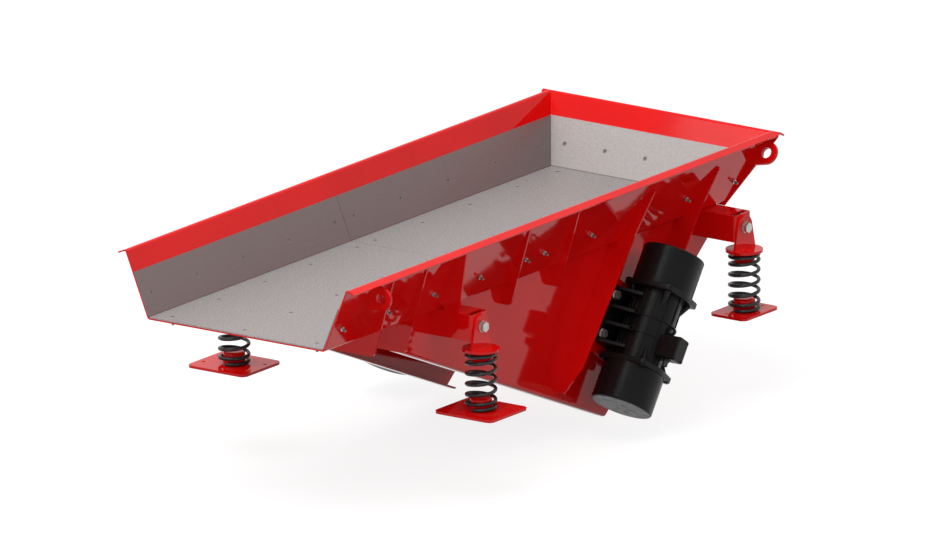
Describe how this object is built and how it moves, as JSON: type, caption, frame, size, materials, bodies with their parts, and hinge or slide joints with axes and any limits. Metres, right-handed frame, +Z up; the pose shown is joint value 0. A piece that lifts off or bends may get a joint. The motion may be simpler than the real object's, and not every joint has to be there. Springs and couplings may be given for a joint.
{
  "type": "vibrating feeder",
  "caption": "Vibrating feeder: open steel pan with wear liners on coil springs, driven by unbalance motors on a wedge-shaped side frame.",
  "frame": {"origin": "centre of the four feet, in the plane of their undersides", "axes": "+X towards the open discharge end of the pan, +Y to the left seen along +X, +Z up"},
  "size_m": [2.804, 1.436, 0.9329],
  "materials": {
    "red_paint": "gloss",
    "liner_steel": "satin",
    "zinc_steel": "satin",
    "spring_black": "satin",
    "motor_black": "satin",
    "gland_plastic": "matt",
    "machined_iron": "machined",
    "bearing_steel": "ground"
  },
  "bodies": {
    "feet": {"foot_front_left": "red_paint", "foot_front_right": "red_paint", "foot_rear_left": "red_paint", "foot_rear_right": "red_paint", "coil_springs": "spring_black"},
    "tray": {"arm_gussets": "red_paint", "cable_glands": "gland_plastic", "cover_screws": "motor_black", "cross_tubes": "red_paint", "end_shields": "machined_iron", "floor_beams": "red_paint", "floor_liner_front": "liner_steel", "floor_liner_rear": "liner_steel", "front_cradle_rib": "red_paint", "lifting_lugs": "red_paint", "liner_nuts": "zinc_steel", "liner_screws": "zinc_steel", "lower_cover_left": "motor_black", "lower_cover_right": "motor_black", "motor_bearings": "bearing_steel", "motor_bolts": "zinc_steel", "motor_housing_left": "motor_black", "motor_housing_right": "motor_black", "motor_nuts": "zinc_steel", "motor_ribs_left": "red_paint", "motor_ribs_right": "red_paint", "motor_seats": "red_paint", "pan_shell": "red_paint", "rear_liner": "liner_steel", "rear_wall": "red_paint", "seat_bolts": "zinc_steel", "seat_nuts": "zinc_steel", "side_liner_front_left": "liner_steel", "side_liner_front_right": "liner_steel", "side_liner_rear_left": "liner_steel", "side_liner_rear_right": "liner_steel", "side_ribs_left": "red_paint", "side_ribs_right": "red_paint", "spring_seat_front_left": "red_paint", "spring_seat_front_right": "red_paint", "spring_seat_rear_left": "red_paint", "spring_seat_rear_right": "red_paint", "stator_cores": "machined_iron", "support_arm_front_left": "red_paint", "support_arm_front_right": "red_paint", "support_arm_rear_left": "red_paint", "support_arm_rear_right": "red_paint", "terminal_boxes": "motor_black", "terminal_lids": "motor_black", "upper_cover_left": "motor_black", "upper_cover_right": "motor_black", "wedge_back_plate": "red_paint", "wedge_cradle_rib": "red_paint", "wedge_side_left": "red_paint", "wedge_side_right": "red_paint"},
    "rotor_left": {"rotor_left": "machined_iron", "eccentric_weights_left": "machined_iron"},
    "rotor_right": {"rotor_right": "machined_iron", "eccentric_weights_right": "machined_iron"}
  },
  "joints": [
    {"name": "tray_throw", "type": "slide", "parent": "feet", "child": "tray", "axis": [0.829, 0, 0.5592], "range_m": [-0.006, 0.006], "stiffness_N_per_m": 230000, "springref_m": 0.0197, "deforming": ["coil_springs"]},
    {"name": "rotor_left_spin", "type": "hinge", "parent": "tray", "child": "rotor_left", "pos_m": [-0.264, 0.541, 0.059], "axis": [-0.5592, 0, 0.829], "continuous": true},
    {"name": "rotor_right_spin", "type": "hinge", "parent": "tray", "child": "rotor_right", "pos_m": [-0.264, -0.541, 0.059], "axis": [-0.5592, 0, 0.829], "continuous": true}
  ]
}
